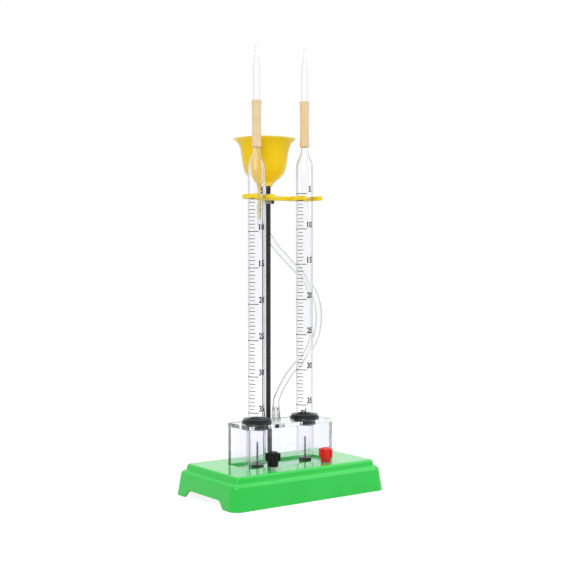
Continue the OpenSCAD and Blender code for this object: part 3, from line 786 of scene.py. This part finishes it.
# %% Collar and screw
collar = ring(rod_r + run_gap, 3.06, 236.4, 239 - hair, 0, rod_y, 0.2)
made["stop_collar"] = cut(collar, block((2, rod_y - 0.85, 236.85), (4, rod_y + 0.85, 238.55)))
screw = turned([(0, 2.1), (0.8, 2.1), (0.8, 3.11), (1.15, 3.11), (1.3, 3.3), (1.3, 4.75), (1.05, 5), (0, 5)],
               sides=32, soft=0.08)
cut(screw, block((-0.2, -2, 4.45), (0.2, 2, 6)))
screw.rotation_euler = (math.radians(25), math.pi / 2, 0)
made["collar_screw"] = place(screw, 0, rod_y, 237.7)
tell("screw", screw)

# %% Tube holder
plate_foot, plate_top = (corner.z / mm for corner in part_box("tube_holder"))
clip_r, clip_gap, hub_r = 11.5, 5.7, 5.6
lip_x, lip_y, lip_r = 8.3, 10.4, 1.9


def bar(left, front, right, back, over=0):
    """A block as thick as the holder's plate, or a cutter that stands over it on both sides."""
    return block((left, front, plate_foot - over), (right, back, plate_top + over))


holder = bar(-24, mid_y + 7.5, 24, mid_y + 14.5)
for x, y in shanks:
    clip = post(x, y, plate_foot, plate_top, clip_r, 96)
    combine(holder, cut(clip, bar(x - clip_gap, y - 13, x + clip_gap, y, 1)))
    for lip in (x - lip_x, x + lip_x):
        combine(holder, post(lip, y - lip_y, plate_foot, plate_top, lip_r, 32))
        combine(holder, bar(lip - lip_r, y - lip_y, lip + lip_r, y - 3.5))
combine(holder, bar(-hub_r, mid_y + 11, hub_r, rod_y))
combine(holder, post(0, rod_y, plate_foot, plate_top, hub_r, 64))
for x, y in shanks + [(0, rod_y)]:
    cut(holder, post(x, y, plate_foot - 1, plate_top + 1, bore_r if x else rod_r + run_gap, 72))
for reach in (0.001, 0.12):
    weld(holder, reach, tidy=True)
finish_with(holder, "BEVEL", width=0.35 * mm, segments=3, limit_method="ANGLE",
            angle_limit=math.radians(40), use_clamp_overlap=False)
made["tube_holder"] = smooth(holder, 50)
tell("holder", holder)

# %% [markdown]
# ## The funnel
# A thin bell of translucent yellow plastic, pressed on the rod with a short socket; the spout
# stands beside the socket, so that the water runs past the rod. The bell's outline is a smooth
# curve through measured points, its inside the same curve moved in by the wall.

# %% Funnel
def smooth_line(points, steps):
    """Points on a smooth curve through rough ones."""
    line = []
    for i in range(len(points) - 1):
        a, b = Vector(points[max(i - 1, 0)]), Vector(points[i])
        c, d = Vector(points[i + 1]), Vector(points[min(i + 2, len(points) - 1)])
        for k in range(steps):
            t = k / steps
            line.append((2 * b + (c - a) * t + (2 * a - 5 * b + 4 * c - d) * t ** 2
                         + (3 * b - a - 3 * c + d) * t ** 3) / 2)
    return line + [Vector(points[-1])]


shares = [(0.25, 0), (0.34, 0.05), (0.41, 0.095), (0.5, 0.14), (0.6, 0.227), (0.64, 0.28), (0.672, 0.36),
          (0.702, 0.453), (0.737, 0.627), (0.786, 0.8), (0.86, 0.91), (1, 1)]
rim, tall, bell_foot = 26.2, 37.5, 253
bell_wall, bowl_floor, socket_top = 1.2, 4.6, 255.6
skin = smooth_line([(r * rim, h * tall) for r, h in shares], 4)
inner = []
for i, spot in enumerate(skin):
    along = (skin[min(i + 1, len(skin) - 1)] - skin[max(i - 1, 0)]).normalized()
    inner.append(spot + bell_wall * Vector((-along.y, along.x)))
inner = [p for p in inner if bowl_floor + 0.1 < p.y < tall - 0.9]
outline = ([(0, 0)] + [tuple(p) for p in skin[:-1]] + [(rim, 37.15), (26.1, tall), (25.4, tall), (25, 37.2)]
           + [tuple(p) for p in inner[::-1]] + [(inner[0].x, bowl_floor), (0, bowl_floor)])
funnel = turned([(r, h + bell_foot) for r, h in outline], 0, funnel_y, 96)
spout = turned([(0, 224), (2.1, 224), (2.3, 224.3), (3.6, socket_top), (3.6, socket_top + 1),
                (0, socket_top + 1)], 0, spout_y, 48)
socket = turned([(0, 251), (3.5, 251), (3.7, 251.2), (3.7, socket_top), (0, socket_top)], 0, rod_y, 48)
combine(funnel, spout)
combine(funnel, socket)
cut(funnel, post(0, spout_y, 220, 272, 1.5, 28))
cut(funnel, post(0, rod_y, 248, 256.02, 2.03, 48))
made["funnel"] = smooth(weld(funnel, 0.004), 40)
tell("funnel", funnel)

# %% [markdown]
# ## Finishes
# A finish is a small network of nodes round one Principled shader. To keep such networks readable,
# a class wraps a socket so that sums and products on it add Math nodes, and one method adds any
# other node. All patterns read Object coordinates, which are metres here, so a noise scale of 1000
# gives grains of about a millimetre.

# %% Shader maths
class Value:
    """A socket of a finish, so that shader maths reads as Python."""

    def __init__(self, finish, socket):
        self.finish, self.socket = finish, socket

    def maths(self, operation, a, b):
        return self.finish.node("Math", {"operation": operation}, {0: a, 1: b})

    def __add__(self, other):
        return self.maths("ADD", self, other)

    def __sub__(self, other):
        return self.maths("SUBTRACT", self, other)

    def __rsub__(self, other):
        return self.maths("SUBTRACT", other, self)

    def __mul__(self, other):
        return self.maths("MULTIPLY", self, other)

    def __pow__(self, other):
        return self.maths("POWER", self, other)

    __radd__ = __add__
    __rmul__ = __mul__


class Finish:
    """The nodes of one material, or of the world that is handed in."""

    def __init__(self, name, world=None):
        self.material = world or bpy.data.materials.new(name)
        self.material.use_nodes = True
        self.tree = self.material.node_tree
        self.tree.nodes.clear()
        self.end = self.tree.nodes.new("ShaderNodeOutput" + ("World" if world else "Material"))

    @property
    def place(self):
        """Object coordinates, in metres."""
        return self.node("TexCoord", {}, {}, "Object")

    def node(self, kind, settings, inputs, out=0):
        """Add a node with its settings, fill or link its sockets, and return one output."""
        node = self.tree.nodes.new("ShaderNode" + kind)
        for name, value in settings.items():
            setattr(node, name, value)
        for name, value in inputs.items():
            if isinstance(value, Value):
                self.tree.links.new(value.socket, node.inputs[name])
            elif isinstance(value, tuple) and len(value) == 3 and node.inputs[name].type == "RGBA":
                node.inputs[name].default_value = (*value, 1)
            else:
                node.inputs[name].default_value = value
        return Value(self, node.outputs[out])

    def grain(self, scale, detail=3.0, stretch=(1, 1, 1)):
        """Noise from 0 to 1, stretched along an axis where the real surface is drawn or brushed."""
        spot = self.node("Mapping", {}, {"Vector": self.place, "Scale": stretch})
        return self.node("TexNoise", {}, {"Vector": spot, "Scale": scale, "Detail": detail}, "Fac")

    def between(self, mask, low, high):
        """Turn a value into a mask that rises from low to high."""
        return self.node("MapRange", {"interpolation_type": "SMOOTHSTEP"},
                         {"Value": mask, "From Min": low, "From Max": high})

    def blend(self, mask, first, second):
        """Mix two colours."""
        return self.node("Mix", {"data_type": "RGBA"}, {0: mask, 6: first, 7: second}, 2)

    def facing(self, bias=0.5):
        """From 0 where the surface faces the eye to 1 where it is seen edge on."""
        return self.node("LayerWeight", {}, {"Blend": bias}, "Facing")

    def ray(self, kind):
        return self.node("LightPath", {}, {}, "Is " + kind + " Ray")

    def seen(self):
        """1 for rays that make the picture: from the camera, off a mirror or through glass."""
        seen = self.ray("Camera")
        for kind in ("Glossy", "Transmission"):
            seen = seen.maths("MAXIMUM", seen, self.ray(kind))
        return seen

    def relief(self, height, depth, strength=0.5):
        """A bump of this depth in millimetres."""
        return self.node("Bump", {}, {"Height": height, "Distance": depth * mm, "Strength": strength})

    def show(self, shader):
        """Put a shader on the surface."""
        self.tree.links.new(shader.socket, self.end.inputs["Surface"])
        return shader

    def shade(self, **sockets):
        """Show the Principled shader with these sockets."""
        names = {name.replace("_", " "): value for name, value in sockets.items()}
        return self.show(self.node("BsdfPrincipled", {}, names))

    def mixed(self, mask, first, second):
        """Show a mix of two shaders."""
        return self.show(self.node("MixShader", {}, {0: mask, 1: first, 2: second}))

    def diffuse(self, colour):
        return self.node("BsdfDiffuse", {}, {"Color": colour})

# %% [markdown]
# ## Moulded plastics
# Injection moulded plastic has a slightly uneven colour, a faint orange-peel surface from the
# mould, and hairline scuffs that show only in its gloss. The base is glossy green, the caps black
# and red, the holder satin yellow.

# %% Plastics
def moulded(name, colour, paler, gloss, peel=0.02, depth=0.0, shine=0.0, ior=1.48):
    f = Finish(name)
    cloud = f.between(f.grain(18, 2), 0.35, 0.7)
    fine = f.grain(420, 4)
    scuff = (f.between(f.grain(300, 2, (1, 14, 6)), 0.62, 0.7)
             + f.between(f.grain(260, 2, (12, 1, 5)), 0.64, 0.72))
    f.shade(Base_Color=f.blend(cloud * 0.6 + fine * 0.3, colour, paler),
            Roughness=gloss + fine * 0.06 + scuff * 0.08, IOR=ior,
            Normal=f.relief(f.grain(900, 3) + scuff * 0.2, peel),
            Subsurface_Weight=depth, Subsurface_Radius=(0.6, 0.9, 0.4), Subsurface_Scale=1.5 * mm,
            Coat_Weight=f.between(f.facing(), 0.6, 0.95) * shine, Coat_Roughness=0.03)
    return f.material


green_plastic = moulded("green_moulding", (0.008, 0.60, 0.055), (0.018, 0.65, 0.075), 0.1, peel=0.006,
                        shine=0.7)
black_plastic = moulded("black_moulding", (0.004, 0.004, 0.005), (0.009, 0.009, 0.01), 0.22, ior=1.25)
red_plastic = moulded("red_moulding", (0.78, 0.012, 0.010), (0.84, 0.02, 0.016), 0.24, ior=1.38)
holder_plastic = moulded("yellow_moulding", (0.97, 0.68, 0.010), (0.98, 0.73, 0.02), 0.3, depth=0.1,
                         ior=1.38)

# %% [markdown]
# ## The funnel's translucent yellow
# Thin polypropylene glows where light comes through it. Subsurface scattering with a red
# and green reach gives that glow, and the bell keeps a deep yellow. Masks on height and Layer Weight
# paint a paler colour at the rim and where the wall is seen edge on, as painted glow, and the
# palest along the spout, as painted glow and highlight.

# %% Funnel plastic
f = Finish("funnel_yellow")
fine = f.grain(240, 4)
height = f.node("SeparateXYZ", {}, {0: f.place}, "Z")
rim_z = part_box("funnel")[1].z
# pale paints glow into the colour by height: paler near the rim, palest along the spout as painted glow and
# highlight
pale = f.between(height, 256 * mm, 246 * mm) * 0.9 + f.between(height, rim_z - 1.8 * mm, rim_z) * 0.6
# Layer Weight adds a painted glow where the wall is seen edge on
mask = f.facing(0.35) ** 3 * 0.7 + fine * 0.03 + pale
f.shade(Base_Color=f.blend(mask, (1.0, 0.67, 0.0), (1.0, 0.81, 0.36)),
        Roughness=0.24 + fine * 0.08, Normal=f.relief(f.grain(700, 3), 0.01), IOR=1.26,
        Subsurface_Weight=0.5, Subsurface_Radius=(1.0, 0.7, 0.05), Subsurface_Scale=2 * mm)
funnel_plastic = f.material

# %% [markdown]
# ## Clear pieces
# Glass, acrylic and vinyl are all refractive, and differ in how strongly they bend light and how
# polished they are. Layer Weight paints the rims a darker colour, a painted shade for the dark
# surroundings that a real wall bends into its edges, and glass and vinyl get a painted grey shade
# line besides. The tank's faces mirror the white room only weakly and its end walls are a little
# clearer, so that what stands inside keeps its darkness. Lamp light is let through, so that no
# clear piece throws the shadow of a solid one.

# %% Glass, acrylic and vinyl
def clear(name, face, rim, ior, smudge, polish=0.0, painted_shade_from=0.4, solid=1.0, line=0.0, mirror=1.0,
          ends=0.0):
    """A clear finish. rim is a painted shade at the edges and line paints a grey shade line there, solid and
    mirror weaken it, ends clears the end walls.
    """
    f = Finish(name)
    facing = f.facing()
    film = f.between(f.grain(60, 3), 0.5, 0.8)
    if ends:
        side = f.node("SeparateXYZ", {}, {0: f.place}, "X")
        solid = solid - f.between(side * side, (38.6 * mm) ** 2, (39.2 * mm) ** 2) * ends
    # The rim colour is painted shade, laid on where the wall is seen edge on.
    shader = f.shade(Base_Color=f.blend(f.between(facing, painted_shade_from, 0.95), face, rim), IOR=ior,
                     Roughness=polish + film * smudge, Transmission_Weight=1.0, Alpha=solid,
                     Specular_Tint=(mirror, mirror, mirror))
    # line mixes in a grey diffuse at the rims, a painted shade line.
    if line:
        shader = f.mixed(f.between(facing, 0.3, 0.9) * line, shader, f.diffuse((0.32, 0.33, 0.34)))
    f.mixed(f.ray("Shadow"), shader, f.node("BsdfTransparent", {}, {"Color": (0.95, 0.96, 0.96)}))
    return f.material


# The rim colours below are painted shade for the edges.
glass = clear("clear_glass", (0.965, 0.965, 0.985), (0.14, 0.15, 0.18), 1.47, 0.01, line=0.2)
acrylic = clear("clear_acrylic", (0.925, 0.935, 0.975), (0.8, 0.92, 0.88), 1.49, 0.01, painted_shade_from=0.5,
                solid=0.97, mirror=0.2, ends=0.09)
nipple_plastic = clear("clear_moulding", (0.9, 0.92, 0.92), (0.5, 0.55, 0.55), 1.46, 0.05, 0.02)
vinyl = clear("clear_vinyl", (0.97, 0.972, 0.975), (0.035, 0.035, 0.037), 1.42, 0.02, 0.01, painted_shade_from=0.25,
              line=0.85)

# %% [markdown]
# ## Rubber and latex
# Black rubber is matt with a fine grain and catches pale dust in patches. Latex tubing is tan,
# a little translucent, and dull from the powder that it is packed in.

# %% Rubber and latex
f = Finish("black_rubber")
fine = f.grain(1500, 4)
dust = f.between(f.grain(220, 4), 0.55, 0.75)
f.shade(Base_Color=f.blend(dust * 0.35, (0.008, 0.010, 0.011), (0.04, 0.045, 0.045)),
        Roughness=0.24 + fine * 0.12, Normal=f.relief(fine, 0.02), IOR=1.44)
rubber = f.material

f = Finish("latex")
fine = f.grain(900, 4)
cloud = f.between(f.grain(90, 3), 0.35, 0.7)
f.shade(Base_Color=f.blend(cloud * 0.6 + fine * 0.3, (0.82, 0.60, 0.33), (0.90, 0.71, 0.44)),
        Roughness=0.46 + fine * 0.14, Normal=f.relief(fine + f.grain(160, 2, (1, 1, 0.3)) * 2, 0.03, 0.6),
        IOR=1.5, Subsurface_Weight=0.35, Subsurface_Radius=(1.0, 0.6, 0.3), Subsurface_Scale=1.5 * mm)
latex = f.material

# %% [markdown]
# ## Metals, enamel, wire and ink
# Plated steel has fine turning marks round its axis and small dull spots. The collar and the
# washers below the caps are duller steel, the clamp screw and the electrode pins darker still. The
# rod is glossy black enamel, with its colour lifted above black as a painted sheen for the
# reflections along it, and the scale is matt black ink.

# %% Metals
def metal(name, colour, dull, rough):
    f = Finish(name)
    fine = f.grain(2200, 3, (1, 1, 5))
    spot = f.between(f.grain(500, 4), 0.56, 0.7)
    f.shade(Base_Color=f.blend(spot * 0.5, colour, dull), Metallic=1 - spot * 0.25,
            Roughness=rough + fine * 0.12 + spot * 0.12, Normal=f.relief(fine, 0.01, 0.4))
    return f.material


plated = metal("plated_steel", (0.72, 0.72, 0.73), (0.5, 0.48, 0.45), 0.2)
dull_steel = metal("dull_steel", (0.3, 0.3, 0.31), (0.16, 0.15, 0.14), 0.34)
burnished = metal("burnished_steel", (0.1, 0.1, 0.105), (0.05, 0.05, 0.05), 0.3)
pin_metal = metal("electrode_metal", (0.09, 0.085, 0.085), (0.05, 0.048, 0.048), 0.3)

# %% Enamel, wire and ink
f = Finish("black_enamel")
fine = f.grain(350, 3, (1, 1, 0.25))
# The enamel's colours are lifted above black: a painted sheen that stands in for the rod's reflections.
f.shade(Base_Color=f.blend(fine, (0.026, 0.024, 0.029), (0.038, 0.035, 0.042)), Roughness=0.08 + fine * 0.06,
        Normal=f.relief(fine, 0.004), IOR=1.28)
enamel = f.material


def insulation(name, colour, paler):
    f = Finish(name)
    fine = f.grain(700, 3)
    f.shade(Base_Color=f.blend(fine, colour, paler), Roughness=0.4 + fine * 0.12,
            Normal=f.relief(fine, 0.02), IOR=1.48)
    return f.material


black_wire = insulation("black_insulation", (0.012, 0.012, 0.012), (0.03, 0.03, 0.03))
red_wire = insulation("red_insulation", (0.55, 0.02, 0.02), (0.7, 0.04, 0.035))
f = Finish("scale_ink")
worn = f.between(f.grain(900, 4), 0.6, 0.78)
f.shade(Base_Color=f.blend(worn, (0.004, 0.004, 0.005), (0.03, 0.03, 0.032)), Roughness=0.5 + worn * 0.2,
        Normal=f.relief(worn, 0.01, 0.4))
ink = f.material

# %% Floor finish
f = Finish("pale_floor")
glow = f.node("Emission", {}, {"Color": (1.0, 1.0, 1.0), "Strength": 0.88})
pale = f.node("AddShader", {}, {0: f.diffuse((0.25, 0.25, 0.25)), 1: glow})
f.mixed(f.seen(), f.diffuse((0.7, 0.7, 0.7)), pale)
floor_finish = f.material
print(len(bpy.data.materials), "materials, the frame's own among them")

# %% [markdown]
# ## Dressing the frame
# Each piece now rides on a body, names the material slot that its finish belongs to, and stands for
# the CAD node of its name. The printed scales and the lead lugs have no node of their own.

# %% Dress
dress = [
    ("stand", "base_green", green_plastic, "base_shell"),
    ("stand", "tank_acrylic", acrylic, "tank_box tank_lid"),
    ("stand", "nipple_clear", nipple_plastic, "hose_nipple"),
    ("stand", "hose_clear", vinyl, "hose"),
    ("stand", "funnel_yellow", funnel_plastic, "funnel"),
    ("stand", "black_rubber", rubber, "left_grommet right_grommet left_electrode_seal "
                                      "right_electrode_seal terminal_washers"),
    ("stand", "electrode_metal", pin_metal, "left_electrode right_electrode"),
    ("stand", "steel", plated, "electrode_washers electrode_nuts rod_washer rod_nut terminal_nuts "
                               "black_terminal_stud red_terminal_stud black_lead_lugs red_lead_lugs"),
    ("stand", "rod_black", enamel, "stand_rod"),
    ("stand", "lead_black", black_wire, "black_lead"),
    ("stand", "lead_red", red_wire, "red_lead"),
    ("collar", "steel", dull_steel, "stop_collar"),
    ("collar", "steel", burnished, "collar_screw"),
    ("holder", "holder_yellow", holder_plastic, "tube_holder"),
]
for side in ("left", "right"):
    dress += [(side + "_tube", "tube_glass", glass, side + "_gas_tube"),
              (side + "_tube", "tube_glass", ink, side + "_scale"),
              (side + "_tube", "latex", latex, side + "_sleeve"),
              (side + "_jet", "tube_glass", glass, side + "_nozzle")]
for colour, plastic in (("black", black_plastic), ("red", red_plastic)):
    dress += [(colour + "_clamp", "steel", dull_steel, colour + "_cap_washer"),
              (colour + "_knob", "cap_" + colour, plastic, colour + "_cap")]
for body, slot, finish, names in dress:
    for name in names.split():
        piece = made[name]
        piece.name = "look_" + name
        piece.data.materials.clear()
        piece.data.materials.append(finish)
        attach(piece, body)
        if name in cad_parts:
            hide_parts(name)
print(len(made), "pieces,", sum(len(piece.data.polygons) for piece in made.values()), "faces")

# %% [markdown]
# ## Floor, light and background
# The picture was taken on seamless white. The floor is pale and keeps a soft shadow, and camera,
# mirror and glass rays see a white surrounding, while the plain level that lights the object stays
# low enough for its colours to come out as they are.

# %% Floor
bpy.ops.mesh.primitive_grid_add(x_subdivisions=2, y_subdivisions=2, size=8, location=(0, 0, -0.0001))
floor = settle(bpy.context.object)
floor.name = "floor"
floor.data.materials.append(floor_finish)

# %% Lights
def lamp(name, spot, size, power):
    """A soft box at a spot, turned to the middle of the object."""
    bpy.ops.object.light_add(type="AREA", location=spot)
    light = bpy.context.object
    light.name = name
    light.data.shape = "RECTANGLE"
    light.data.size, light.data.size_y = size
    light.data.energy = power
    light.rotation_euler = (Vector((0, 0, 0.15)) - Vector(spot)).to_track_quat("-Z", "Y").to_euler()


lamp("key", (-1.0, -0.75, 0.95), (0.8, 1.3), 8.5)
lamp("fill", (1.1, -0.8, 0.7), (0.9, 0.9), 4)
lamp("top", (0.2, 0.1, 1.4), (2.0, 2.0), 14)

# %% World
world = bpy.data.worlds.new("studio")
bpy.context.scene.world = world
f = Finish("studio", world)
level = f.node("MapRange", {}, {"Value": f.seen(), "To Min": 0.46, "To Max": 1.0})
f.show(f.node("Background", {}, {"Color": (1, 1, 1), "Strength": level}))
bpy.context.scene.view_settings.view_transform = "Standard"
